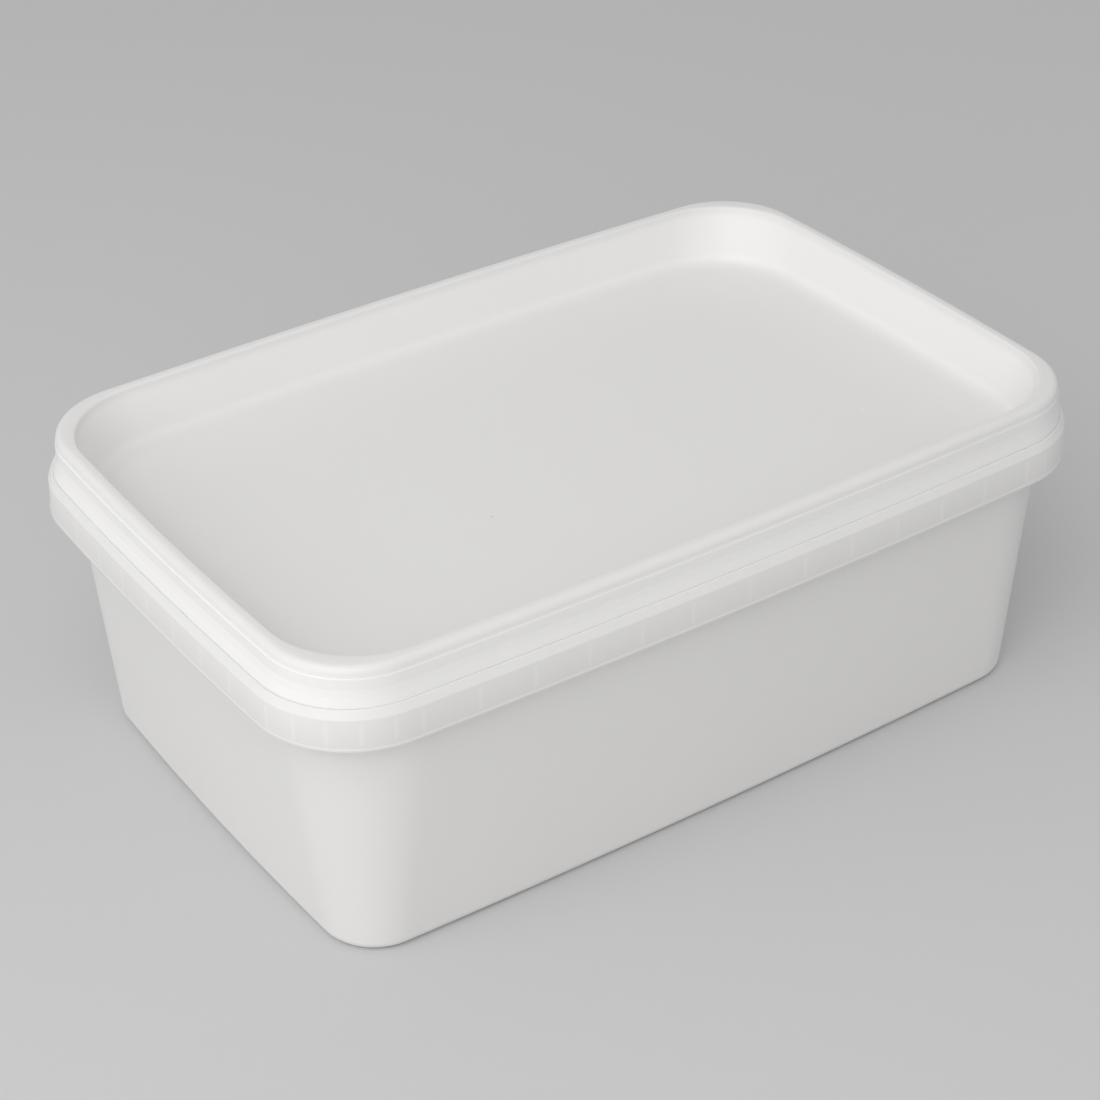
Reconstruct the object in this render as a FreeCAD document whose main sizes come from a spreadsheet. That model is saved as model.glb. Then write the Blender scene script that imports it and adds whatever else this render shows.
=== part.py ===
import FreeCAD, Part
import math
import os

import Sketcher

# A rectangular two-litre food tub with its lid pressed on. The tub and the lid are each
# one moulding. The pack is shut and opaque, so the tub is solid out to its outer form.
#
# The origin is the middle of the underside. +X runs along the tub, +Y across it, +Z up.
# Every size is in millimetres. An inset is measured inwards from the tub's widest
# outline, which is the lower edge of the skirt.

SIZES = {
    # the whole pack
    "length": 228.0,
    "width": 148.0,
    "height": 84.0,
    "side_crown": 2700.0,           # radius of the slight outward bow of the long sides
    "end_crown": 1200.0,            # the same for the short sides
    # the tub's walls
    "wall_end_inset": 5.0,          # where the wall meets the collar
    "wall_side_inset": 2.6,
    "wall_lean": 7.0,               # how much further in the walls stand at the base
    "wall_corner": 27.5,
    "base_corner": 14.2,
    "base_edge": 2.6,
    # the collar: a skirt that hangs round the walls, a sloping shoulder and a lip
    "skirt_corner": 25.5,
    "skirt_depth": 8.0,
    "skirt_flare": 0.4,
    "skirt_wall": 1.0,
    "shoulder_drop": 2.0,
    "shoulder_inset": 1.0,
    "shoulder_wall": 1.5,
    "lip_width": 0.4,
    "seat_depth": 1.2,
    # the ribs that tie the skirt to the walls
    "rib_width": 0.8,
    "rib_lift": 1.5,                # from the skirt's lower edge up to the ribs
    "side_rib_first": 16.0,
    "side_rib_pitch": 14.0,
    "end_rib_pitch": 12.4,
    # the lid
    "lid_gap": 0.25,                # between the lid's flange and the tub's lip
    "lid_rise": 9.6,                # from the tub's lip up to the top of the rim
    "flange_rise": 3.0,             # from the tub's lip up to the top of the flange
    "rim_end_inset": 4.0,
    "rim_side_inset": 2.9,
    "rim_corner": 21.0,
    "rim_width": 3.1,
    "rim_edge": 1.5,
    "rim_inner_edge": 0.9,
    "rim_inner_corner": 23.0,
    "recess_depth": 15.6,
    "recess_lean": 2.9,
    "panel_corner": 25.0,
    "panel_edge": 4.0,
    "panel_wall": 1.2,
    "recess_wall": 1.7,             # of the lid, outside the foot of the recess
    "fit_gap": 0.3,                 # between the lid's sunk part and the tub
}

SIDE_RIBS_EACH_WAY = 6
END_RIBS_EACH_WAY = 4
TOUCH = 1e-4                        # points closer than this are one point
UP = FreeCAD.Vector(0, 0, 1)

# Heights that follow from the sizes, as expressions on the sheet.
LIP_TOP = "(Sizes.height - Sizes.lid_rise)"
SEAT = f"({LIP_TOP} - Sizes.seat_depth)"
SHOULDER_FOOT = f"({LIP_TOP} - Sizes.shoulder_drop)"
SKIRT_FOOT = f"({SHOULDER_FOOT} - Sizes.skirt_depth)"
GROOVE_TOP = f"({SHOULDER_FOOT} - Sizes.shoulder_wall)"
RIB_FOOT = f"({SKIRT_FOOT} + Sizes.rib_lift)"
RIB_TOP = f"({GROOVE_TOP} + Sizes.shoulder_wall / 2)"
FLANGE_TOP = f"({LIP_TOP} + Sizes.flange_rise)"
PANEL_TOP = "(Sizes.height - Sizes.recess_depth)"
PANEL_UNDERSIDE = f"({PANEL_TOP} - Sizes.panel_wall)"
POCKET_FLOOR = f"({PANEL_UNDERSIDE} - Sizes.fit_gap)"


class Outline:
    """A rounded rectangle with bowed sides, whose sizes are expressions on the sheet."""

    def __init__(self, end_inset, side_inset, corner, crown_inset="0"):
        self.end_inset = end_inset
        self.side_inset = side_inset
        self.half_length = f"Sizes.length / 2 - ({end_inset})"
        self.half_width = f"Sizes.width / 2 - ({side_inset})"
        self.corner = corner
        self.side_crown = f"Sizes.side_crown - ({crown_inset})"
        self.end_crown = f"Sizes.end_crown - ({crown_inset})"
        self.crown_inset = crown_inset

    def inside(self, distance):
        """The parallel outline at a distance further in."""
        return Outline(
            f"{self.end_inset} + {distance}",
            f"{self.side_inset} + {distance}",
            f"{self.corner} - ({distance})",
            f"{self.crown_inset} + {distance}",
        )


SKIRT_LOWER = Outline("0", "0", "Sizes.skirt_corner")
SKIRT_UPPER = SKIRT_LOWER.inside("Sizes.skirt_flare")
LIP_OUTER = SKIRT_UPPER.inside("Sizes.shoulder_inset")
LIP_INNER = LIP_OUTER.inside("Sizes.lip_width")
FLANGE = LIP_INNER.inside("Sizes.lid_gap")
WALL_UPPER = Outline("Sizes.wall_end_inset", "Sizes.wall_side_inset", "Sizes.wall_corner")
WALL_LOWER = Outline(
    "Sizes.wall_end_inset + Sizes.wall_lean",
    "Sizes.wall_side_inset + Sizes.wall_lean",
    "Sizes.base_corner",
)
RIM_OUTER = Outline("Sizes.rim_end_inset", "Sizes.rim_side_inset", "Sizes.rim_corner")
RIM_INNER = Outline(
    "Sizes.rim_end_inset + Sizes.rim_width",
    "Sizes.rim_side_inset + Sizes.rim_width",
    "Sizes.rim_inner_corner",
)
PANEL = Outline(
    "Sizes.rim_end_inset + Sizes.rim_width + Sizes.recess_lean",
    "Sizes.rim_side_inset + Sizes.rim_width + Sizes.recess_lean",
    "Sizes.panel_corner",
)
PLUG = PANEL.inside("-Sizes.recess_wall")
POCKET = PLUG.inside("-Sizes.fit_gap")


def make_sheet(doc):
    """The spreadsheet of driving dimensions, one named row each."""
    sheet = doc.addObject("Spreadsheet::Sheet", "Sizes")
    for row, (name, value) in enumerate(SIZES.items(), start=1):
        sheet.set(f"A{row}", name)
        sheet.set(f"B{row}", str(value))
        sheet.setAlias(f"B{row}", name)
    doc.recompute()
    return sheet


def new_body(doc, label):
    body = doc.addObject("PartDesign::Body", label)
    body.Label = label
    return body


def new_sketch(body, name, level):
    """An empty sketch on the body's horizontal plane, raised to a level."""
    sketch = body.newObject("Sketcher::SketchObject", name)
    plane = next(p for p in body.Origin.OriginFeatures if p.Role == "XY_Plane")
    sketch.AttachmentSupport = [(plane, "")]
    sketch.MapMode = "FlatFace"
    sketch.setExpression("AttachmentOffset.Base.z", level)
    return sketch


def bind(sketch, kind, places, name, expression):
    """A named dimension of a sketch, tied to an expression on the sheet."""
    now = value(sketch, expression)
    index = sketch.addConstraint(Sketcher.Constraint(kind, *places, now))
    sketch.renameConstraint(index, name)
    sketch.setExpression(f"Constraints.{name}", expression)


def corner_centre(half_length, half_width, corner, end_crown, side_crown):
    """Centre of the arc that is tangent to a long side's bow and to a short side's."""
    along, across = half_length - end_crown, half_width - side_crown
    from_side, from_end = side_crown - corner, end_crown - corner
    apart = math.hypot(along, across)
    foot = (from_side**2 - from_end**2 + apart**2) / (2 * apart)
    rise = math.sqrt(from_side**2 - foot**2)
    unit_x, unit_y = along / apart, -across / apart
    x = foot * unit_x + rise * unit_y
    y = across + foot * unit_y - rise * unit_x
    return x, y


def outline_arcs(half_length, half_width, corner, end_crown, side_crown):
    """Centre, radius and angles of the eight arcs, turning left from the +X end."""
    x, y = corner_centre(half_length, half_width, corner, end_crown, side_crown)
    end_x, side_y = half_length - end_crown, half_width - side_crown
    end_turn = math.atan2(y, x - end_x)
    side_turn = math.atan2(y - side_y, x)
    half = math.pi
    return [
        (end_x, 0, end_crown, -end_turn, end_turn),
        (x, y, corner, end_turn, side_turn),
        (0, side_y, side_crown, side_turn, half - side_turn),
        (-x, y, corner, half - side_turn, half - end_turn),
        (-end_x, 0, end_crown, half - end_turn, half + end_turn),
        (-x, -y, corner, half + end_turn, half + side_turn),
        (0, -side_y, side_crown, half + side_turn, 2 * half - side_turn),
        (x, -y, corner, 2 * half - side_turn, 2 * half - end_turn),
    ]


def value(item, text):
    """What an expression on the sheet is worth now."""
    return float(item.evalExpression(text))


def draw_outline(sketch, outline):
    """Draws an outline, fully constrained: eight arcs, each tangent to the next."""
    half_length = value(sketch, outline.half_length)
    half_width = value(sketch, outline.half_width)
    corner = value(sketch, outline.corner)
    end_crown = value(sketch, outline.end_crown)
    side_crown = value(sketch, outline.side_crown)
    arcs = outline_arcs(half_length, half_width, corner, end_crown, side_crown)
    for centre_x, centre_y, radius, start, stop in arcs:
        circle = Part.Circle(FreeCAD.Vector(centre_x, centre_y, 0), UP, radius)
        sketch.addGeometry(Part.ArcOfCircle(circle, start, stop))
    for arc in range(len(arcs)):
        after = (arc + 1) % len(arcs)
        sketch.addConstraint(Sketcher.Constraint("Tangent", arc, 2, after, 1))
    for first, others in ((0, (4,)), (2, (6,)), (1, (3, 5, 7))):
        for other in others:
            sketch.addConstraint(Sketcher.Constraint("Equal", first, other))
    for first, other, axis in ((0, 4, -1), (2, 6, -2)):
        sketch.addConstraint(Sketcher.Constraint("Symmetric", first, 3, other, 3, -1, 1))
        sketch.addConstraint(Sketcher.Constraint("PointOnObject", first, 3, axis))
    bind(sketch, "Radius", (1,), "corner", outline.corner)
    bind(sketch, "Radius", (0,), "end_crown", outline.end_crown)
    bind(sketch, "Radius", (2,), "side_crown", outline.side_crown)
    bind(sketch, "DistanceX", (0, 3, -1, 1), "end_centre",
         f"{outline.end_crown} - ({outline.half_length})")
    bind(sketch, "DistanceY", (2, 3, -1, 1), "side_centre",
         f"{outline.side_crown} - ({outline.half_width})")


def draw_rectangle(sketch, size_x, size_y, place_x="0", place_y="0"):
    """Draws a rectangle, fully constrained, with its centre at a place."""
    first = sketch.GeometryCount
    half_x, half_y = value(sketch, size_x) / 2, value(sketch, size_y) / 2
    x, y = value(sketch, place_x), value(sketch, place_y)
    corners = [
        FreeCAD.Vector(x + way_x * half_x, y + way_y * half_y, 0)
        for way_x, way_y in ((-1, -1), (1, -1), (1, 1), (-1, 1))
    ]
    for start, stop in zip(corners, corners[1:] + corners[:1]):
        sketch.addGeometry(Part.LineSegment(start, stop))
    for line, kind in enumerate(("Horizontal", "Vertical", "Horizontal", "Vertical")):
        after = first + (line + 1) % 4
        sketch.addConstraint(Sketcher.Constraint("Coincident", first + line, 2, after, 1))
        sketch.addConstraint(Sketcher.Constraint(kind, first + line))
    bind(sketch, "DistanceX", (first, 1, first, 2), "size_x", size_x)
    bind(sketch, "DistanceY", (first + 1, 1, first + 1, 2), "size_y", size_y)
    bind(sketch, "DistanceX", (-1, 1, first + 2, 1), "right", f"{place_x} + ({size_x}) / 2")
    bind(sketch, "DistanceY", (-1, 1, first + 2, 1), "back", f"{place_y} + ({size_y}) / 2")


def loft(body, name, lower, lower_level, upper, upper_level, cut=False):
    """A tapered solid, or cut, between two outlines at two levels."""
    kind = "PartDesign::SubtractiveLoft" if cut else "PartDesign::AdditiveLoft"
    profile = new_sketch(body, f"{name}_foot", lower_level)
    draw_outline(profile, lower)
    section = new_sketch(body, f"{name}_top", upper_level)
    draw_outline(section, upper)
    feature = body.newObject(kind, name)
    feature.Profile = profile
    feature.Sections = [section]
    feature.Ruled = True
    body.Document.recompute()
    return feature


def edge_middle(edge):
    return edge.valueAt((edge.FirstParameter + edge.LastParameter) / 2)


def level_edges(feature, level, before=None):
    """Names of the edges that lie flat at a level, but not those of an earlier feature."""
    old = [edge_middle(edge) for edge in before.Shape.Edges] if before else []
    names = []
    for number, edge in enumerate(feature.Shape.Edges, start=1):
        box = edge.BoundBox
        flat = max(abs(box.ZMin - level), abs(box.ZMax - level)) < TOUCH
        middle = edge_middle(edge)
        if flat and all(middle.distanceToPoint(point) > TOUCH for point in old):
            names.append(f"Edge{number}")
    return names


def fillet(body, name, base, edges, radius):
    feature = body.newObject("PartDesign::Fillet", name)
    feature.Base = (base, edges)
    feature.setExpression("Radius", radius)
    body.Document.recompute()
    return feature


def straight_rib(body, name, size_x, size_y, place_x="0", place_y="0"):
    """A rib right across the tub, which shows only where it crosses the groove."""
    sketch = new_sketch(body, f"{name}_plan", RIB_FOOT)
    draw_rectangle(sketch, size_x, size_y, place_x, place_y)
    pad = body.newObject("PartDesign::Pad", name)
    pad.Profile = sketch
    pad.setExpression("Length", f"{RIB_TOP} - {RIB_FOOT}")
    body.Document.recompute()
    return pad


def rib_row(body, first, axis, pitch, count, backwards):
    """Repeats a rib along one of the body's axes."""
    row = body.newObject("PartDesign::LinearPattern", f"{first.Name}_row")
    row.Originals = [first]
    line = next(item for item in body.Origin.OriginFeatures if item.Role == axis)
    row.Direction = (line, [""])
    row.Reversed = backwards
    row.Mode = "Spacing"
    row.setExpression("Offset", pitch)
    row.Occurrences = count
    body.Tip = row
    body.Document.recompute()


def make_ribs(doc):
    """The ribs behind the skirt, trimmed to end inside the skirt's thickness."""
    body = new_body(doc, "ribs")
    reach = ("Sizes.length", "Sizes.width")
    straight_rib(body, "side_rib_middle", "Sizes.rib_width", reach[1])
    straight_rib(body, "end_rib_middle", reach[0], "Sizes.rib_width")
    for word, sign in (("plus", 1), ("minus", -1)):
        side = straight_rib(body, f"side_rib_{word}", "Sizes.rib_width", reach[1],
                            place_x=f"{sign} * Sizes.side_rib_first")
        rib_row(body, side, "X_Axis", "Sizes.side_rib_pitch", SIDE_RIBS_EACH_WAY, sign < 0)
        end = straight_rib(body, f"end_rib_{word}", reach[0], "Sizes.rib_width",
                           place_y=f"{sign} * Sizes.end_rib_pitch")
        rib_row(body, end, "Y_Axis", "Sizes.end_rib_pitch", END_RIBS_EACH_WAY, sign < 0)
    trim = new_sketch(body, "rib_trim_plan", RIB_TOP)
    draw_outline(trim, SKIRT_UPPER.inside("Sizes.skirt_wall / 2"))
    draw_rectangle(trim, "Sizes.length * 2", "Sizes.width * 2")
    pocket = body.newObject("PartDesign::Pocket", "rib_trim")
    pocket.Profile = trim
    pocket.setExpression("Length", f"{RIB_TOP} - {RIB_FOOT}")
    doc.recompute()
    return body


def make_tub(doc, ribs):
    body = new_body(doc, "tub")
    loft(body, "skirt", SKIRT_LOWER, SKIRT_FOOT, SKIRT_UPPER, SHOULDER_FOOT)
    loft(body, "shoulder", SKIRT_UPPER, SHOULDER_FOOT, LIP_OUTER, LIP_TOP)
    loft(body, "groove", SKIRT_LOWER.inside("Sizes.skirt_wall"), SKIRT_FOOT,
         SKIRT_UPPER.inside("Sizes.skirt_wall"), GROOVE_TOP, cut=True)
    walls = loft(body, "walls", WALL_LOWER, "0", WALL_UPPER, SHOULDER_FOOT)
    fillet(body, "rounded_base", walls, level_edges(walls, 0.0), "Sizes.base_edge")
    joined = body.newObject("PartDesign::Boolean", "joined_ribs")
    joined.Type = "Fuse"
    joined.setObjects([ribs])
    doc.recompute()
    loft(body, "seat", LIP_INNER, SEAT, LIP_INNER, LIP_TOP, cut=True)
    loft(body, "pocket", POCKET, POCKET_FLOOR, POCKET, SEAT, cut=True)
    return body


def make_lid(doc):
    body = new_body(doc, "lid")
    loft(body, "sunk_part", PLUG, PANEL_UNDERSIDE, PLUG, SEAT)
    loft(body, "flange", FLANGE, SEAT, FLANGE, FLANGE_TOP)
    rim = loft(body, "rim", FLANGE, FLANGE_TOP, RIM_OUTER, "Sizes.height")
    top = value(rim, "Sizes.height")
    panel = value(rim, PANEL_TOP)
    rounded = fillet(body, "rounded_rim", rim, level_edges(rim, top), "Sizes.rim_edge")
    recess = loft(body, "recess", PANEL, PANEL_TOP, RIM_INNER, "Sizes.height", cut=True)
    inner = level_edges(recess, top, rounded)
    softened = fillet(body, "rounded_inner_rim", recess, inner, "Sizes.rim_inner_edge")
    fillet(body, "rounded_panel", softened, level_edges(softened, panel), "Sizes.panel_edge")
    return body


def check(doc, parts):
    """Stops if an object failed, or if a part is not one sound solid."""
    for item in doc.Objects:
        if {"Invalid", "Error"} & set(item.State):
            raise RuntimeError(f"{item.Name} failed: {item.State}")
    for item in parts:
        shape = item.Shape
        if shape.isNull() or not shape.isValid() or len(shape.Solids) != 1:
            raise RuntimeError(f"{item.Label} is not one sound solid")


def main():
    doc = FreeCAD.newDocument("food_tub")
    make_sheet(doc)
    ribs = make_ribs(doc)
    parts = [make_tub(doc, ribs), make_lid(doc)]
    doc.recompute()
    check(doc, parts)
    os.makedirs("parts", exist_ok=True)
    for item in parts:
        item.Shape.exportStep(f"parts/{item.Label}.step")
        print(item.Label, round(item.Shape.Volume), item.Shape.BoundBox)


main()
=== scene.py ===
"""A rectangular white food tub with its lid pressed on, dressed for rendering.

The tub is one moulding: tapered walls that bow out slightly, and round the mouth a collar
with a hanging skirt, a sloping shoulder and a thin lip. Ribs tie the skirt to the walls.
The lid is the other moulding: a sunken panel, a raised rim and a flange that sits inside
the lip. Both are satin white polypropylene, a little translucent where it is thin.

The sizes of the pack are in millimetres, and become metres where a mesh is placed.
+X runs along the tub, +Y across it and +Z up.
"""

import logging
import math
from dataclasses import dataclass
from enum import Enum
from typing import Any, Mapping, Sequence, Union

import bmesh
import bpy
from mathutils import Color, Matrix, Vector


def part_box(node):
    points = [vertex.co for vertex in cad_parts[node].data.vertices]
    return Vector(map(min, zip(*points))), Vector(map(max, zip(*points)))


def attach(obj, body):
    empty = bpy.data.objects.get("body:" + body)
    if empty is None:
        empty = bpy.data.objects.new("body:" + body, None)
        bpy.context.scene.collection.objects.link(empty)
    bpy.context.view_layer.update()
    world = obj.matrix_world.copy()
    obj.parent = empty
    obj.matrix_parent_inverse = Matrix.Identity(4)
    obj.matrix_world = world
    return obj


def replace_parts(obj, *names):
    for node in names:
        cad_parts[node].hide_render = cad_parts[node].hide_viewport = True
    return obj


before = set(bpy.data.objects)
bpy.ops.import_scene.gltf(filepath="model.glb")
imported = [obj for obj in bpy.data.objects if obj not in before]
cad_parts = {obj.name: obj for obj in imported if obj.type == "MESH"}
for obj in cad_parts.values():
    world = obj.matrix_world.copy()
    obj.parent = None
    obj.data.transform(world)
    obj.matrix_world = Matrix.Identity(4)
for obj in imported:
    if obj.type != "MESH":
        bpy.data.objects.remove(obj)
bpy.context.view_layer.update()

MM = 0.001
LOG = logging.getLogger("food_tub")

Tone = tuple[float, float, float]


class Body(Enum):
    """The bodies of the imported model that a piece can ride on."""

    ROOT = "root"


class Node(Enum):
    """The CAD nodes that a piece can stand for."""

    TUB = "tub"
    LID = "lid"


class Slot(Enum):
    """The record's material slots."""

    TUB = "tub_plastic"
    LID = "lid_plastic"


# ---------------------------------------------------------------- outlines and sections


@dataclass(frozen=True)
class Steps:
    """How finely an outline is divided: steps in half an end, a corner and half a side."""

    end: int = 12
    corner: int = 24
    side: int = 20

    def stations(self) -> int:
        """How many points go once round an outline."""
        return 4 * (self.end + self.corner + self.side)


@dataclass(frozen=True)
class Plan:
    """A rounded rectangle with bowed sides, seen from above.

    The end bow is the radius of the short sides, and the side bow that of the long ones.
    """

    half_length: float
    half_width: float
    corner: float
    end_bow: float
    side_bow: float

    def sizes(self) -> tuple[float, ...]:
        """The five sizes in order."""
        return (self.half_length, self.half_width, self.corner, self.end_bow, self.side_bow)

    def inside(self, distance: float) -> "Plan":
        """The parallel outline at a distance further in."""
        return Plan(*(size - distance for size in self.sizes()))

    def mix(self, other: "Plan", share: float) -> "Plan":
        """The outline part of the way towards another."""
        pairs = zip(self.sizes(), other.sizes())
        return Plan(*(mine + (theirs - mine) * share for mine, theirs in pairs))

    def corner_arc(self) -> tuple[float, float, float, float]:
        """Finds the arc of the corner between +X and +Y.

        Returns:
            Its centre's x and y, and the angles where it meets the short and the long side.
        """
        end_x = self.half_length - self.end_bow
        side_y = self.half_width - self.side_bow
        from_end = self.end_bow - self.corner
        from_side = self.side_bow - self.corner
        apart = math.hypot(end_x, side_y)
        foot = (from_side**2 - from_end**2 + apart**2) / (2 * apart)
        rise = math.sqrt(from_side**2 - foot**2)
        way_x, way_y = end_x / apart, -side_y / apart
        x = foot * way_x + rise * way_y
        y = side_y + foot * way_y - rise * way_x
        return x, y, math.atan2(y, x - end_x), math.atan2(y - side_y, x)

    def points(self, steps: Steps) -> list[tuple[float, float]]:
        """Walks once round the outline, turning left from the middle of the +X end.

        Args:
            steps: How finely to divide it.

        Returns:
            One point for each station.
        """
        x, y, end_turn, side_turn = self.corner_arc()
        end_x, side_y = self.half_length - self.end_bow, self.half_width - self.side_bow
        arcs = (
            (end_x, 0.0, self.end_bow, 0.0, end_turn, steps.end),
            (x, y, self.corner, end_turn, side_turn, steps.corner),
            (0.0, side_y, self.side_bow, side_turn, math.pi / 2, steps.side),
        )
        quarter = []
        for centre_x, centre_y, radius, start, stop, count in arcs:
            for step in range(count):
                turn = start + (stop - start) * step / count
                place = centre_x + radius * math.cos(turn), centre_y + radius * math.sin(turn)
                quarter.append(place)
        quarter.append((0.0, self.half_width))
        upper = quarter + [(-x, y) for x, y in reversed(quarter[:-1])]
        return upper + [(x, -y) for x, y in reversed(upper[1:-1])]

    def side_y(self, x: float) -> float:
        """How far out the long side stands at x."""
        return self.half_width - self.side_bow + math.sqrt(self.side_bow**2 - x**2)

    def end_x(self, y: float) -> float:
        """How far out the short side stands at y."""
        return self.half_length - self.end_bow + math.sqrt(self.end_bow**2 - y**2)


@dataclass(frozen=True)
class Turn:
    """One corner of a section: an outline at a level, and how the skin passes it.

    The radius rounds the corner. Where the flat that leads on to the next corner is wide,
    it has a narrow band at each end, to keep it flat, and spans says how many lie between.
    """

    plan: Plan
    level: float
    radius: float = 0.0
    spans: int = 0

    def way(self, other: "Turn") -> Vector:
        """The way to another corner in the section, outwards and upwards."""
        across = other.plan.half_width - self.plan.half_width
        return Vector((across, other.level - self.level))

    def mix(self, other: "Turn", share: float) -> "Turn":
        """The plain place part of the way towards another corner."""
        level = self.level + (other.level - self.level) * share
        return Turn(self.plan.mix(other.plan, share), level)

    def setback(self, before: "Turn", after: "Turn") -> float:
        """How far from the corner its rounding starts, along the flats beside it."""
        bend = math.pi - self.way(before).angle(self.way(after))
        return self.radius * math.tan(bend / 2)


class Skin:
    """A closed skin that grows ring by ring along a section.

    ROUNDING is how many faces go round a corner of the section, HOLD how wide the narrow
    bands beside a wide flat are, in millimetres, and PLAIN the number of a ring that is no
    corner.
    """

    ROUNDING = 6
    HOLD = 0.15
    PLAIN = -1

    def __init__(self, steps: Steps) -> None:
        """Starts with nothing."""
        self.steps = steps
        self.mesh = bmesh.new()
        self.station = self.mesh.verts.layers.int.new("station")
        self.turn = self.mesh.verts.layers.int.new("turn")
        self.edge_loop: list[bmesh.types.BMEdge] = []

    def place(self, verts: Sequence[bmesh.types.BMVert], turn: Turn, number: int) -> None:
        """Moves each vertex to its station on an outline, and notes the corner's number."""
        points = turn.plan.points(self.steps)
        for vert in verts:
            x, y = points[vert[self.station]]
            vert.co = Vector((x, y, turn.level)) * MM
            vert[self.turn] = number

    def cap(self) -> None:
        """Closes the open edge with one flat face."""
        bmesh.ops.contextual_create(self.mesh, geom=self.edge_loop)

    def start(self, turn: Turn) -> None:
        """Makes the first ring and closes it."""
        circle = bmesh.ops.create_circle(self.mesh, segments=self.steps.stations(), radius=1.0)
        for number, vert in enumerate(circle["verts"]):
            vert[self.station] = number
        self.edge_loop = list(self.mesh.edges)
        self.place(circle["verts"], turn, 0)
        self.cap()

    def grow(self, turn: Turn, number: int) -> None:
        """Draws the open edge out to the next ring."""
        grown = bmesh.ops.extrude_edge_only(self.mesh, edges=self.edge_loop)["geom"]
        fresh = {item for item in grown if isinstance(item, bmesh.types.BMVert)}
        edges = [item for item in grown if isinstance(item, bmesh.types.BMEdge)]
        self.edge_loop = [edge for edge in edges if set(edge.verts) <= fresh]
        self.place(list(fresh), turn, number)

    def soften(self, number: int, setback: float) -> None:
        """Rounds one corner of the section, all the way round."""
        edges = [
            edge for edge in self.mesh.edges
            if all(vert[self.turn] == number for vert in edge.verts)
        ]
        bmesh.ops.bevel(
            self.mesh, geom=edges, offset=setback * MM, offset_type="OFFSET",
            segments=self.ROUNDING, profile=0.5, affect="EDGES", material=-1,
            loop_slide=True,
        )

    def follow(self, turns: Sequence[Turn]) -> bmesh.types.BMesh:
        """Grows the whole skin, then rounds its corners.

        Args:
            turns: The corners of the section, in order.

        Returns:
            The closed mesh, its faces pointing outwards.
        """
        setbacks = [0.0] * len(turns)
        for number, (before, turn, after) in enumerate(zip(turns, turns[1:], turns[2:]), start=1):
            setbacks[number] = turn.setback(before, after)
        self.start(turns[0])
        for number, (before, after) in enumerate(zip(turns, turns[1:]), start=1):
            if before.spans:
                length = before.way(after).length
                first = (setbacks[number - 1] + self.HOLD) / length
                last = 1 - (setbacks[number] + self.HOLD) / length
                for span in range(before.spans + 1):
                    share = first + (last - first) * span / before.spans
                    self.grow(before.mix(after, share), self.PLAIN)
            self.grow(after, number)
        self.cap()
        for number, setback in enumerate(setbacks):
            if setback:
                self.soften(number, setback)
        bmesh.ops.recalc_face_normals(self.mesh, faces=self.mesh.faces)
        return self.mesh


def make_piece(name: str, mesh: bmesh.types.BMesh, material: bpy.types.Material) -> bpy.types.Object:
    """Turns a mesh into a smooth piece that rides on the pack's one body.

    Args:
        name: The piece's name.
        mesh: The finished mesh, which is freed.
        material: What the piece is made of.

    Returns:
        The new object.
    """
    for face in mesh.faces:
        face.smooth = True
    data = bpy.data.meshes.new(name)
    mesh.to_mesh(data)
    mesh.free()
    data.materials.append(material)
    piece = bpy.data.objects.new(name, data)
    bpy.context.scene.collection.objects.link(piece)
    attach(piece, Body.ROOT.value)
    LOG.info("%s: %d faces", name, len(data.polygons))
    return piece


# ---------------------------------------------------------------- shaders


def linear(tone: Tone) -> tuple[float, float, float, float]:
    """A colour from 0 to 255 on screen, as a shader takes it."""
    red, green, blue = (part / 255 for part in tone)
    return (*Color((red, green, blue)).from_srgb_to_scene_linear(), 1.0)


class Signal:
    """A shader socket that can be used in a Python expression."""

    def __init__(self, graph: "Graph", socket: bpy.types.NodeSocket) -> None:
        """Wraps an output socket."""
        self.graph = graph
        self.socket = socket

    def __add__(self, other: "Value") -> "Signal":
        """Adds a number or a signal."""
        return self.graph.maths("ADD", self, other)

    def __sub__(self, other: "Value") -> "Signal":
        """Takes a number or a signal away."""
        return self.graph.maths("SUBTRACT", self, other)

    def __rsub__(self, other: "Value") -> "Signal":
        """Takes this signal away from a number."""
        return self.graph.maths("SUBTRACT", other, self)

    def __mul__(self, other: "Value") -> "Signal":
        """Multiplies by a number or a signal."""
        return self.graph.maths("MULTIPLY", self, other)

    def __abs__(self) -> "Signal":
        """The signal without its sign."""
        return self.graph.maths("ABSOLUTE", self)

    def __gt__(self, other: "Value") -> "Signal":
        """1 where the signal is more than a number, and 0 elsewhere."""
        return self.graph.maths("GREATER_THAN", self, other)


Value = Union[Signal, float]


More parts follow.
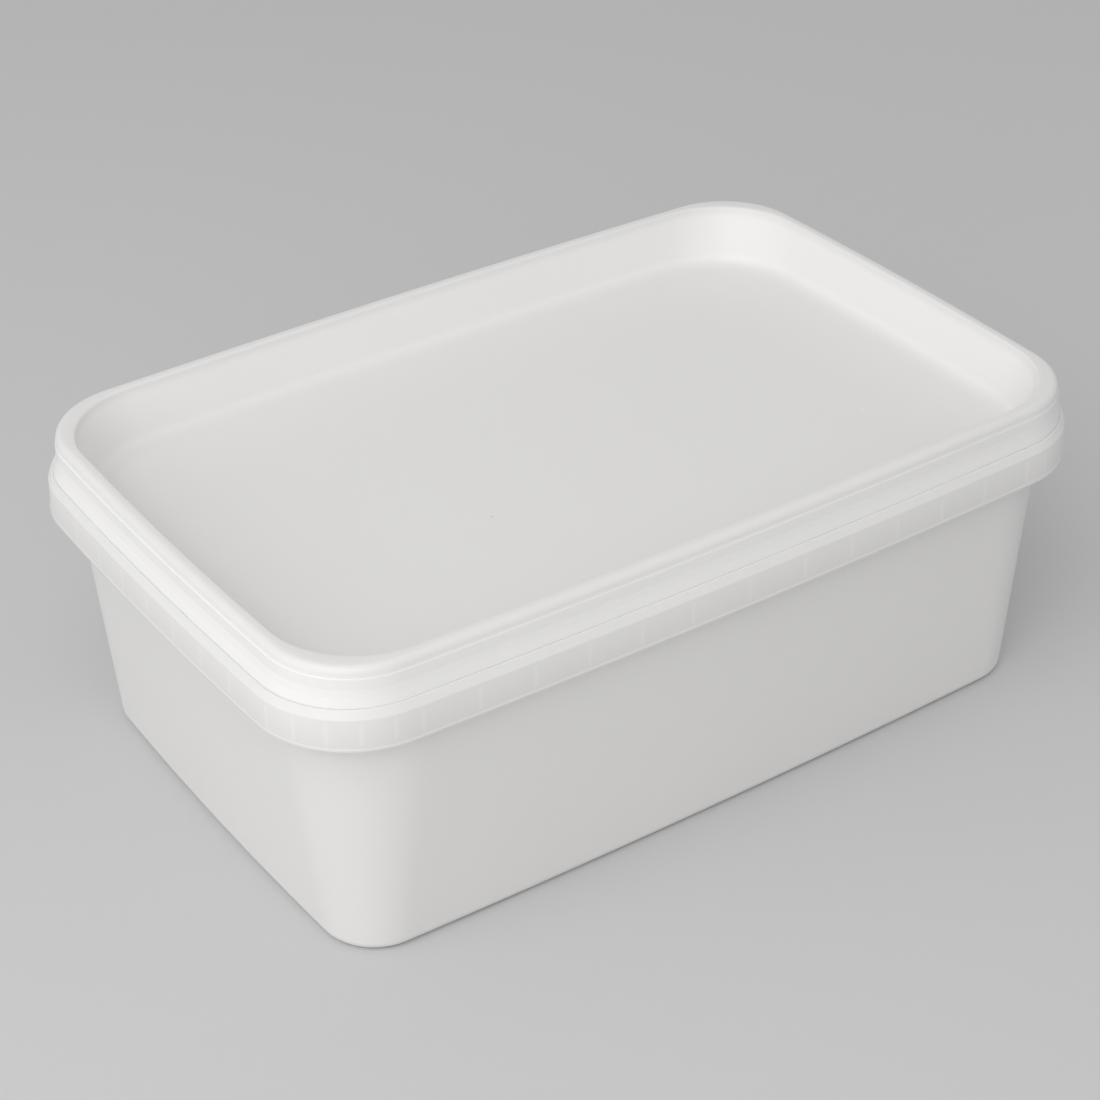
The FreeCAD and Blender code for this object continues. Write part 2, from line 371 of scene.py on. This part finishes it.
class Graph:
    """The nodes of one material or world."""

    def __init__(self, owner: Any) -> None:
        """Takes over the node tree of a material or a world, and empties it."""
        owner.use_nodes = True
        self.tree = owner.node_tree
        self.tree.nodes.clear()

    def node(self, kind: str, settings: Mapping[str, Any] | None = None,
             sockets: Mapping[Any, Any] | None = None) -> bpy.types.Node:
        """Adds a node.

        Args:
            kind: The node's type.
            settings: Its own settings, which are set first.
            sockets: A value or a signal for each input, by name or number.

        Returns:
            The new node.
        """
        made = self.tree.nodes.new(kind)
        for name, setting in (settings or {}).items():
            setattr(made, name, setting)
        for name, value in (sockets or {}).items():
            if isinstance(value, Signal):
                self.tree.links.new(value.socket, made.inputs[name])
            else:
                made.inputs[name].default_value = value
        return made

    def signal(self, kind: str, output: Any, settings: Mapping[str, Any] | None = None,
               sockets: Mapping[Any, Any] | None = None) -> Signal:
        """Adds a node and gives one of its outputs."""
        return Signal(self, self.node(kind, settings, sockets).outputs[output])

    def maths(self, operation: str, *values: Value) -> Signal:
        """One Math node."""
        return self.signal("ShaderNodeMath", 0, {"operation": operation}, dict(enumerate(values)))

    def place(self) -> Signal:
        """The place on the piece, in millimetres."""
        place = self.signal("ShaderNodeTexCoord", "Object")
        settings = {"operation": "SCALE"}
        return self.signal("ShaderNodeVectorMath", 0, settings, {0: place, "Scale": 1 / MM})

    def parts(self, vector: Signal) -> list[Signal]:
        """The x, y and z of a vector."""
        split = self.node("ShaderNodeSeparateXYZ", sockets={0: vector})
        return [Signal(self, output) for output in split.outputs]

    def noise(self, place: Signal, size: float, detail: float = 2.0) -> Signal:
        """Smooth random variation around 0, with lumps of about a size in millimetres."""
        sockets = {"Vector": place, "Scale": 1 / size, "Detail": detail}
        return self.signal("ShaderNodeTexNoise", 0, {"noise_dimensions": "3D"}, sockets) - 0.5

    def fade(self, value: Value, none: float, full: float) -> Signal:
        """Rises smoothly from 0 where the value is at none to 1 where it is at full."""
        sockets = {"Value": value, "From Min": none, "From Max": full}
        settings = {"interpolation_type": "SMOOTHSTEP"}
        return self.signal("ShaderNodeMapRange", 0, settings, sockets)

    def blend(self, share: Signal, first: Any, second: Any) -> Signal:
        """Goes from one colour to another as the share goes from 0 to 1."""
        factor, colour_a, colour_b, result = 0, 6, 7, 2
        sockets = {factor: share, colour_a: first, colour_b: second}
        return self.signal("ShaderNodeMix", result, {"data_type": "RGBA"}, sockets)

    def bump(self, height: Signal, depth: float, normal: Signal | None = None) -> Signal:
        """Relief from a height between 0 and 1, with its depth in millimetres."""
        sockets = {"Height": height, "Distance": depth * MM}
        if normal:
            sockets["Normal"] = normal
        return self.signal("ShaderNodeBump", 0, sockets=sockets)

    def output(self, kind: str, shader: Signal) -> None:
        """Sends a shader to the output."""
        self.node(kind, sockets={"Surface": shader})


# ---------------------------------------------------------------- finishes


@dataclass(frozen=True)
class PaintedRibLight:
    """Painted light: paler bands on a thin wall where ribs behind it reflect light back through it,
    in millimetres.

    Along a long side there is one rib in the middle, and the others follow from the first
    at one pitch. Along a short side they stand at one pitch from the middle, and round a
    corner they stand at equal angles.
    """

    side_first: float
    side_pitch: float
    side_reach: float
    end_pitch: float
    end_reach: float
    corner_radius: float
    corner_step: float
    foot: float
    head: float
    blur: float

    def nearest(self, graph: Graph, value: Signal, pitch: float) -> Signal:
        """The distance to the nearest of the ribs that stand at one pitch from 0."""
        return abs(graph.maths("WRAP", value, pitch / 2, -pitch / 2))

    def mask(self, graph: Graph, place: Signal) -> Signal:
        """Marks the bands of painted light.

        Args:
            graph: The material's nodes.
            place: The place on the piece.

        Returns:
            1 in the middle of a band, and 0 away from it.
        """
        x, y, z = graph.parts(place)
        along, across = abs(x), abs(y)
        past_middle = along > self.side_first / 2
        side_row = self.nearest(graph, along - self.side_first, self.side_pitch)
        side = past_middle * side_row + (1.0 - past_middle) * along
        end = self.nearest(graph, across, self.end_pitch)
        beyond_side, beyond_end = along - self.side_reach, across - self.end_reach
        angle = graph.maths("ARCTAN2", beyond_end, beyond_side) - math.pi / 4
        corner = self.nearest(graph, angle, self.corner_step) * self.corner_radius
        past_side, past_end = beyond_side > 0.0, beyond_end > 0.0
        off = ((1.0 - past_side) * side + (1.0 - past_end) * end
               + past_side * past_end * corner)
        upright = graph.fade(z, self.foot - self.blur, self.foot + self.blur)
        under = graph.fade(z, self.head + self.blur, self.head - self.blur)
        return graph.fade(off, self.blur, 0.0) * upright * under


@dataclass(frozen=True)
class SpeckOrGlint:
    """A small grain caught in the plastic, or a painted highlight on a tiny nub: its place and
    radius in millimetres, and its tone.
    """

    x: float
    y: float
    radius: float
    tone: Tone

    def core(self) -> float:
        """The radius within which it shows in full."""
        return self.radius / 3


@dataclass(frozen=True)
class ToneAndLightStop:
    """The tone a moulding shows at one level, in millimetres, with painted light and shade in it."""

    level: float
    tone: Tone


@dataclass(frozen=True)
class SatinPlastic:
    """Moulded polypropylene: white, satin and a little translucent.

    The body tone blends from stop to stop going up. The stops hold painted light and shade:
    paler where light comes through thin walls and not through thick ones, darker where less light
    reaches. The tone also drifts a little from place to place. A finish may also have painted light
    where ribs back a thin wall, and a few specks, one of which can be a painted highlight.
    """

    name: str
    tone_and_light_stops: tuple[ToneAndLightStop, ...]
    drift: float = 0.02
    # painted light over ribs behind a thin wall: its tone and strength
    rib_light_tone: Tone = (250.0, 249.0, 247.0)
    rib_light_strength: float = 0.2
    drift_tone: Tone = (150.0, 146.0, 138.0)
    roughness: float = 0.42
    roughness_drift: float = 0.10
    roughness_size: float = 9.0
    grain_size: float = 0.35
    grain_depth: float = 0.006
    flow_size: float = 38.0
    flow_detail: float = 3.0
    flow_depth: float = 0.25
    translucency: float = 0.4
    bleed: float = 1.0
    bleed_of_each_colour: tuple[float, float, float] = (1.0, 0.98, 0.96)
    ior: float = 1.49
    painted_rib_light: PaintedRibLight | None = None
    specks_and_glint: tuple[SpeckOrGlint, ...] = ()

    def colour(self, graph: Graph, place: Signal) -> Signal:
        """The body colour, with painted light and shade by level, painted light over the ribs behind
        it, and specks, one of them a painted highlight.
        """
        x, y, z = graph.parts(place)
        colour: Any = linear(self.tone_and_light_stops[0].tone)
        # painted light and shade by level
        for below, stop in zip(self.tone_and_light_stops, self.tone_and_light_stops[1:]):
            share = graph.fade(z, below.level, stop.level)
            colour = graph.blend(share, colour, linear(stop.tone))
        drift = graph.noise(place, self.flow_size, self.flow_detail) * self.drift
        drift = drift + 0.5 * self.drift
        colour = graph.blend(drift, colour, linear(self.drift_tone))
        # painted light: paler bands where the ribs behind the skirt reflect light back through it
        if self.painted_rib_light:
            mask = self.painted_rib_light.mask(graph, place) * self.rib_light_strength
            colour = graph.blend(mask, colour, linear(self.rib_light_tone))
        # specks, and a painted highlight on a tiny nub
        for speck_or_glint in self.specks_and_glint:
            off_x, off_y = x - speck_or_glint.x, y - speck_or_glint.y
            off = graph.maths("SQRT", off_x * off_x + off_y * off_y)
            speck_or_glint_mask = graph.fade(off, speck_or_glint.radius, speck_or_glint.core())
            colour = graph.blend(speck_or_glint_mask, colour, linear(speck_or_glint.tone))
        return colour

    def material(self) -> bpy.types.Material:
        """Builds the material.

        Returns:
            The new material.
        """
        made = bpy.data.materials.new(self.name)
        graph = Graph(made)
        place = graph.place()
        rough = graph.noise(place, self.roughness_size) * self.roughness_drift + self.roughness
        grain = graph.bump(graph.noise(place, self.grain_size) + 0.5, self.grain_depth)
        relief = graph.bump(graph.noise(place, self.flow_size) + 0.5, self.flow_depth, grain)
        shader = graph.signal("ShaderNodeBsdfPrincipled", 0, sockets={
            "Base Color": self.colour(graph, place),
            "Roughness": rough,
            "Normal": relief,
            "IOR": self.ior,
            "Subsurface Weight": self.translucency,
            "Subsurface Scale": self.bleed * MM,
            "Subsurface Radius": self.bleed_of_each_colour,
        })
        graph.output("ShaderNodeOutputMaterial", shader)
        return made


# ---------------------------------------------------------------- the pack


@dataclass(frozen=True)
class Pack:
    """What both mouldings are measured from, in millimetres.

    The corner and the bows are those of the skirt's lower edge, the widest outline.
    """

    half_length: float
    half_width: float
    lip_top: float
    rim_top: float
    lid_foot: float
    corner: float = 25.5
    end_bow: float = 1200.0
    side_bow: float = 2700.0

    @classmethod
    def measured(cls) -> "Pack":
        """Takes the sizes from the boxes of the two CAD nodes."""
        _, tub_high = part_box(Node.TUB.value)
        lid_low, lid_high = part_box(Node.LID.value)
        sizes = (tub_high.x, tub_high.y, tub_high.z, lid_high.z, lid_low.z)
        return cls(*(size / MM for size in sizes))

    def widest(self) -> Plan:
        """The outline of the skirt's lower edge."""
        return Plan(self.half_length, self.half_width, self.corner, self.end_bow, self.side_bow)

    def plan(self, end_inset: float, side_inset: float, corner: float) -> Plan:
        """An outline further in by an inset at the ends and another at the sides."""
        half_length, half_width = self.half_length - end_inset, self.half_width - side_inset
        return Plan(half_length, half_width, corner, self.end_bow, self.side_bow)

    def lip_outer(self, tub: "TubShell") -> Plan:
        """The outer edge of the tub's lip."""
        return self.widest().inside(tub.skirt_flare + tub.shoulder_inset)


@dataclass(frozen=True)
class TubShell:
    """The tub without its ribs: walls, collar, and the hidden seat for the lid."""

    pack: Pack
    wall_end_inset: float = 5.0
    wall_side_inset: float = 2.6
    wall_lean: float = 7.0
    wall_corner: float = 27.5
    base_corner: float = 14.2
    base_edge: float = 2.6
    base_band: float = 12.0
    skirt_depth: float = 8.0
    skirt_flare: float = 0.4
    skirt_wall: float = 1.0
    skirt_edge: float = 0.15
    groove_wall_edge: float = 0.4
    groove_skirt_edge: float = 0.3
    bead_height: float = 0.7
    bead_proud: float = 0.08
    shoulder_drop: float = 2.0
    shoulder_inset: float = 1.0
    shoulder_wall: float = 1.5
    shoulder_edge: float = 0.7
    lip_width: float = 0.4
    lip_edge: float = 0.06
    seat_depth: float = 0.6
    seat_edge: float = 0.1
    pocket_end_inset: float = 7.4
    pocket_side_inset: float = 6.3
    pocket_corner: float = 27.6
    pocket_gap: float = 0.3

    def shoulder_foot(self) -> float:
        """The level of the skirt's top edge."""
        return self.pack.lip_top - self.shoulder_drop

    def skirt_foot(self) -> float:
        """The level of the skirt's lower edge."""
        return self.shoulder_foot() - self.skirt_depth

    def groove_top(self) -> float:
        """The level of the groove's ceiling, behind the skirt."""
        return self.shoulder_foot() - self.shoulder_wall

    def skirt_upper(self) -> Plan:
        """The outline of the skirt's top edge."""
        return self.pack.widest().inside(self.skirt_flare)

    def turns(self) -> list[Turn]:
        """The section, from the middle of the base round to the floor of the pocket."""
        widest, upper = self.pack.widest(), self.skirt_upper()
        end, side, lean = self.wall_end_inset, self.wall_side_inset, self.wall_lean
        wall_foot = Turn(self.pack.plan(end + lean, side + lean, self.base_corner), 0.0)
        wall_head = Turn(self.pack.plan(end, side, self.wall_corner), self.shoulder_foot())
        wall_top = wall_foot.mix(wall_head, self.groove_top() / self.shoulder_foot()).plan
        above_bead = widest.mix(upper, self.bead_height / self.skirt_depth)
        above_bead = above_bead.inside(self.bead_proud)
        bead_top, bead_edge = self.skirt_foot() + self.bead_height, self.bead_proud / 2
        lip = upper.inside(self.shoulder_inset)
        seat = lip.inside(self.lip_width)
        pocket = self.pack.plan(
            self.pocket_end_inset, self.pocket_side_inset, self.pocket_corner)
        top, seat_level = self.pack.lip_top, self.pack.lip_top - self.seat_depth
        return [
            Turn(wall_foot.plan.inside(self.base_band), 0.0, spans=3),
            Turn(wall_foot.plan, 0.0, self.base_edge, spans=20),
            Turn(wall_top, self.groove_top(), self.groove_wall_edge, spans=1),
            Turn(upper.inside(self.skirt_wall), self.groove_top(), self.groove_skirt_edge,
                 spans=3),
            Turn(widest.inside(self.skirt_wall), self.skirt_foot(), self.skirt_edge),
            Turn(widest, self.skirt_foot(), self.skirt_edge),
            Turn(widest, bead_top, bead_edge),
            Turn(above_bead, bead_top + self.bead_proud, bead_edge, spans=6),
            Turn(upper, self.shoulder_foot(), self.shoulder_edge, spans=2),
            Turn(lip, top, self.lip_edge),
            Turn(seat, top, self.lip_edge, spans=1),
            Turn(seat, seat_level, self.seat_edge, spans=1),
            Turn(pocket, seat_level, self.seat_edge, spans=1),
            Turn(pocket, self.pack.lid_foot - self.pocket_gap),
        ]

    def build(self, material: bpy.types.Material) -> bpy.types.Object:
        """Makes the piece that stands for the whole tub.

        Args:
            material: The tub's plastic.

        Returns:
            The new piece.
        """
        piece = make_piece("tub_shell", Skin(Steps()).follow(self.turns()), material)
        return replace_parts(piece, Node.TUB.value)


@dataclass(frozen=True)
class SkirtRibs:
    """The thin upright ribs behind the skirt, from the walls to inside the skirt."""

    shell: TubShell
    width: float = 0.8
    depth: float = 5.2
    corner_depth: float = 6.4
    lift: float = 1.5
    edge: float = 0.12
    side_first: float = 16.0
    side_pitch: float = 14.0
    side_each_way: int = 6
    end_pitch: float = 12.4
    end_each_way: int = 4
    corner_step: float = math.radians(17.0)
    corner_each_way: int = 2
    light_band_blur: float = 0.9

    def foot(self) -> float:
        """The level of the ribs' lower ends."""
        return self.shell.skirt_foot() + self.lift

    def head(self) -> float:
        """The level at which the ribs end, inside the groove's ceiling."""
        return self.shell.groove_top() + self.shell.shoulder_wall / 2

    def reach(self) -> Plan:
        """The outline inside the skirt's thickness where the ribs end."""
        return self.shell.skirt_upper().inside(self.shell.skirt_wall / 2)

    def light_bands(self) -> PaintedRibLight:
        """Where painted light shows the ribs through the skirt."""
        plan = self.reach()
        side_reach, end_reach, _, _ = plan.corner_arc()
        return PaintedRibLight(
            side_first=self.side_first, side_pitch=self.side_pitch, side_reach=side_reach,
            end_pitch=self.end_pitch, end_reach=end_reach, corner_radius=plan.corner,
            corner_step=self.corner_step, foot=self.foot(), head=self.head(),
            blur=self.light_band_blur,
        )

    def places(self) -> list[tuple[float, float, float, float]]:
        """Where the ribs of one quarter end: x, y, the way they face, and how deep they are.

        Returns:
            The places from the middle of the long side to the middle of the short side.
        """
        plan = self.reach()
        x, y, _, _ = plan.corner_arc()
        side = [0.0] + [self.side_first + self.side_pitch * n for n in range(self.side_each_way)]
        end = [self.end_pitch * n for n in range(self.end_each_way + 1)]
        places = [(at, plan.side_y(at), math.pi / 2, self.depth) for at in side]
        places += [(plan.end_x(at), at, 0.0, self.depth) for at in end]
        for step in range(-self.corner_each_way, self.corner_each_way + 1):
            turn = math.pi / 4 + step * self.corner_step
            place = x + plan.corner * math.cos(turn), y + plan.corner * math.sin(turn)
            places.append((*place, turn, self.corner_depth))
        return places

    def build(self, material: bpy.types.Material) -> bpy.types.Object:
        """Makes all the ribs as one piece.

        Args:
            material: The tub's plastic.

        Returns:
            The new piece.
        """
        mesh = bmesh.new()
        tall, middle = self.head() - self.foot(), (self.head() + self.foot()) / 2
        for x, y, turn, depth in self.places():
            size = Matrix.Diagonal((depth * MM, self.width * MM, tall * MM, 1.0))
            inwards = Matrix.Translation((-depth * MM / 2, 0.0, 0.0))
            at = Matrix.Translation(Vector((x, y, middle)) * MM)
            quarter = at @ Matrix.Rotation(turn, 4, "Z") @ inwards @ size
            for way_x in (1, -1) if x else (1,):
                for way_y in (1, -1) if y else (1,):
                    flip = Matrix.Diagonal((way_x, way_y, 1.0, 1.0))
                    bmesh.ops.create_cube(mesh, size=1.0, matrix=flip @ quarter)
        bmesh.ops.recalc_face_normals(mesh, faces=mesh.faces)
        bmesh.ops.bevel(
            mesh, geom=mesh.edges, offset=self.edge * MM, offset_type="OFFSET", segments=2,
            profile=0.5, affect="EDGES", material=-1,
        )
        return make_piece("skirt_ribs", mesh, material)


@dataclass(frozen=True)
class LidShell:
    """The lid: a sunken panel, a raised rim, and a flange inside the tub's lip.

    A share of the rim's wall is how far it has widened from the rim's top to the flange.
    """

    pack: Pack
    shell: TubShell
    flange_gap: float = 0.03
    rim_end_inset: float = 4.0
    rim_side_inset: float = 2.9
    rim_corner: float = 21.0
    rim_width: float = 3.1
    rim_inner_corner: float = 23.0
    rim_edge: float = 1.6
    rim_inner_edge: float = 0.7
    step_drop: float = 2.5
    step_share: float = 0.16
    step_ledge: float = 0.12
    step_height: float = 0.25
    step_edge: float = 0.15
    flange_drop: float = 5.4
    flange_share: float = 0.32
    flare_drop: float = 7.2
    flare_share: float = 0.55
    flare_edge: float = 0.8
    flange_foot: float = 0.1
    flange_edge: float = 0.05
    seat_gap: float = 0.02
    recess_depth: float = 15.6
    recess_lean: float = 2.9
    panel_corner: float = 25.0
    panel_edge: float = 4.0
    panel_sag: float = 0.15
    panel_band: float = 24.0
    plug_wall: float = 2.3
    plug_edge: float = 0.3
    plug_band: float = 20.0

    def turns(self) -> list[Turn]:
        """The section, from the middle of the panel over the rim and back underneath."""
        pack, shell = self.pack, self.shell
        end, side, wide = self.rim_end_inset, self.rim_side_inset, self.rim_width
        lean = self.recess_lean
        outer = pack.plan(end, side, self.rim_corner)
        inner = pack.plan(end + wide, side + wide, self.rim_inner_corner)
        panel = pack.plan(end + wide + lean, side + wide + lean, self.panel_corner)
        flange = pack.lip_outer(shell).inside(shell.lip_width + self.flange_gap)
        plug = panel.inside(-self.plug_wall)
        top, seat = pack.rim_top, pack.lip_top - shell.seat_depth + self.seat_gap
        sunk = top - self.recess_depth
        step, ledge = top - self.step_drop, self.step_share + self.step_ledge
        return [
            Turn(panel.inside(self.panel_band), sunk - self.panel_sag, spans=4),
            Turn(panel, sunk, self.panel_edge, spans=8),
            Turn(inner, top, self.rim_inner_edge),
            Turn(outer, top, self.rim_edge, spans=1),
            Turn(outer.mix(flange, self.step_share), step, self.step_edge),
            Turn(outer.mix(flange, ledge), step - self.step_height, self.step_edge, spans=2),
            Turn(outer.mix(flange, self.flange_share), top - self.flange_drop, self.flare_edge,
                 spans=1),
            Turn(outer.mix(flange, self.flare_share), top - self.flare_drop, self.flare_edge,
                 spans=1),
            Turn(flange, pack.lip_top + self.flange_foot, self.flange_edge, spans=1),
            Turn(flange, seat, shell.seat_edge, spans=1),
            Turn(plug, seat, shell.seat_edge, spans=1),
            Turn(plug, pack.lid_foot, self.plug_edge, spans=1),
            Turn(plug.inside(self.plug_band), pack.lid_foot),
        ]

    def build(self, material: bpy.types.Material) -> bpy.types.Object:
        """Makes the piece that stands for the lid.

        Args:
            material: The lid's plastic.

        Returns:
            The new piece.
        """
        mesh = Skin(Steps()).follow(self.turns())
        piece = make_piece("lid_shell", mesh, material)
        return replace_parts(piece, Node.LID.value)


# ---------------------------------------------------------------- the studio


@dataclass(frozen=True)
class Studio:
    """A plain pale floor and a pale surround. The floor's radius is in metres."""

    floor_tone: Tone = (206.0, 206.0, 206.0)
    surround_tone: Tone = (196.0, 196.0, 196.0)
    fill_tone: Tone = (252.0, 252.0, 254.0)
    fill: float = 0.618
    floor_radius: float = 4.0
    floor_steps: int = 96
    floor_roughness: float = 0.8
    floor_shine: float = 0.2

    def floor(self) -> None:
        """Makes the floor, which takes the pack's shadow."""
        mesh = bmesh.new()
        bmesh.ops.create_circle(
            mesh, cap_ends=True, segments=self.floor_steps, radius=self.floor_radius)
        data = bpy.data.meshes.new("floor")
        mesh.to_mesh(data)
        mesh.free()
        made = bpy.data.materials.new("floor_paper")
        graph = Graph(made)
        shader = graph.signal("ShaderNodeBsdfPrincipled", 0, sockets={
            "Base Color": linear(self.floor_tone),
            "Roughness": self.floor_roughness,
            "Specular IOR Level": self.floor_shine,
        })
        graph.output("ShaderNodeOutputMaterial", shader)
        data.materials.append(made)
        floor = bpy.data.objects.new("floor", data)
        bpy.context.scene.collection.objects.link(floor)

    def surround(self) -> None:
        """Makes the world: soft fill light, and a pale colour where it is seen."""
        world = bpy.data.worlds.new("surround")
        bpy.context.scene.world = world
        graph = Graph(world)
        rays = graph.node("ShaderNodeLightPath").outputs
        kinds = ("Camera", "Glossy", "Transmission")
        camera, glossy, transmission = (Signal(graph, rays[f"Is {kind} Ray"]) for kind in kinds)
        share = graph.maths("MINIMUM", camera + glossy + transmission, 1.0)
        light = graph.signal("ShaderNodeBackground", 0, sockets={
            "Color": linear(self.fill_tone), "Strength": self.fill})
        shown = graph.signal("ShaderNodeBackground", 0, sockets={
            "Color": linear(self.surround_tone), "Strength": 1.0})
        mixed = graph.signal("ShaderNodeMixShader", 0, sockets={0: share, 1: light, 2: shown})
        graph.output("ShaderNodeOutputWorld", mixed)


def direction(azimuth: float, elevation: float) -> Vector:
    """The way from the pack to a place round it, from angles in degrees."""
    around, up = math.radians(azimuth), math.radians(elevation)
    level = math.cos(up)
    return Vector((math.sin(around) * level, -math.cos(around) * level, math.sin(up)))


@dataclass(frozen=True)
class SoftLamp:
    """A square soft box that points at the pack, in degrees, metres and watts."""

    name: str
    azimuth: float
    elevation: float
    size: float
    power: float
    distance: float = 1.1
    aim_height: float = 0.05

    def light(self) -> None:
        """Hangs the lamp."""
        data = bpy.data.lights.new(self.name, "AREA")
        data.shape = "SQUARE"
        data.size = self.size
        data.energy = self.power
        lamp = bpy.data.objects.new(self.name, data)
        bpy.context.scene.collection.objects.link(lamp)
        lamp.location = direction(self.azimuth, self.elevation) * self.distance
        aim = Vector((0.0, 0.0, self.aim_height)) - lamp.location
        lamp.rotation_euler = aim.to_track_quat("-Z", "Y").to_euler()


@dataclass(frozen=True)
class Viewpoint:
    """Where the camera stands and which way it looks, in degrees and millimetres.

    The camera turns round a point above the base, then slides sideways and up.
    """

    azimuth: float = -34.16
    elevation: float = 33.05
    roll: float = -0.77
    distance: float = 643.7
    aim_height: float = 39.63
    slide: float = -3.59
    lift: float = 0.66
    lens: float = 83.83
    sensor: float = 36.0
    nearest: float = 10.0
    farthest: float = 20000.0

    def set_up(self) -> None:
        """Makes the camera and gives it to the scene."""
        back = direction(self.azimuth, self.elevation)
        right = direction(self.azimuth + 90.0, 0.0)
        up = back.cross(right)
        place = back * self.distance + right * self.slide + up * self.lift
        place.z += self.aim_height
        turn = Matrix((right, up, back)).transposed()
        roll = Matrix.Rotation(math.radians(self.roll), 3, "Z")
        data = bpy.data.cameras.new("camera")
        data.lens, data.sensor_width = self.lens, self.sensor
        data.clip_start, data.clip_end = self.nearest * MM, self.farthest * MM
        camera = bpy.data.objects.new("camera", data)
        bpy.context.scene.collection.objects.link(camera)
        camera.matrix_world = Matrix.Translation(place * MM) @ (turn @ roll).to_4x4()
        bpy.context.scene.camera = camera


# Tone stops with painted light and shade: the tub's wall, then the skirt darker at its foot and
# paler towards the shoulder, where light comes through the thin collar.
TUB_TONE_AND_LIGHT_STOPS = (
    ToneAndLightStop(64.2, (232.0, 231.0, 229.0)),
    ToneAndLightStop(64.4, (226.0, 225.0, 223.0)),
    ToneAndLightStop(72.0, (234.0, 233.0, 231.0)),
)
# Tone stops with painted light and shade: the lid's panel, then paler up the thin rim where light
# comes through, and darker again at the rim's top.
LID_TONE_AND_LIGHT_STOPS = (
    ToneAndLightStop(68.5, (232.0, 231.0, 229.0)),
    ToneAndLightStop(71.0, (242.0, 241.0, 239.0)),
    ToneAndLightStop(81.0, (242.0, 241.0, 239.0)),
    ToneAndLightStop(84.0, (231.0, 230.0, 228.0)),
)
# Specks on the lid's panel: a dark grain, a painted highlight where a tiny nub catches the light,
# and a paler spot.
SPECKS_AND_GLINT = (
    SpeckOrGlint(-29.9, -13.5, 0.45, (205.0, 202.0, 197.0)),
    SpeckOrGlint(73.9, -25.8, 0.5, (243.0, 242.0, 240.0)),
    SpeckOrGlint(83.0, -31.7, 0.4, (238.0, 237.0, 235.0)),
)
LAMPS = (
    SoftLamp("key_high", azimuth=-60.0, elevation=55.0, size=0.7, power=2.8),
    SoftLamp("key_middle", azimuth=-50.0, elevation=28.0, size=0.7, power=1.75),
    SoftLamp("key_low", azimuth=-50.0, elevation=14.0, size=0.5, power=0.6),
    SoftLamp("left", azimuth=-95.0, elevation=20.0, size=0.6, power=0.85),
)


def main() -> None:
    """Builds the pack and its studio, in order."""
    logging.basicConfig(level=logging.INFO, format="%(name)s: %(message)s")
    bpy.context.scene.view_settings.view_transform = "Standard"
    pack = Pack.measured()
    shell = TubShell(pack)
    ribs = SkirtRibs(shell)
    tub_plastic = SatinPlastic("tub_satin_white", TUB_TONE_AND_LIGHT_STOPS, painted_rib_light=ribs.light_bands()).material()
    lid_plastic = SatinPlastic("lid_satin_white", LID_TONE_AND_LIGHT_STOPS, specks_and_glint=SPECKS_AND_GLINT).material()
    shell.build(tub_plastic)
    ribs.build(tub_plastic)
    LidShell(pack, shell).build(lid_plastic)
    studio = Studio()
    studio.floor()
    studio.surround()
    for lamp in LAMPS:
        lamp.light()
    Viewpoint().set_up()


if __name__ == "__main__":
    main()
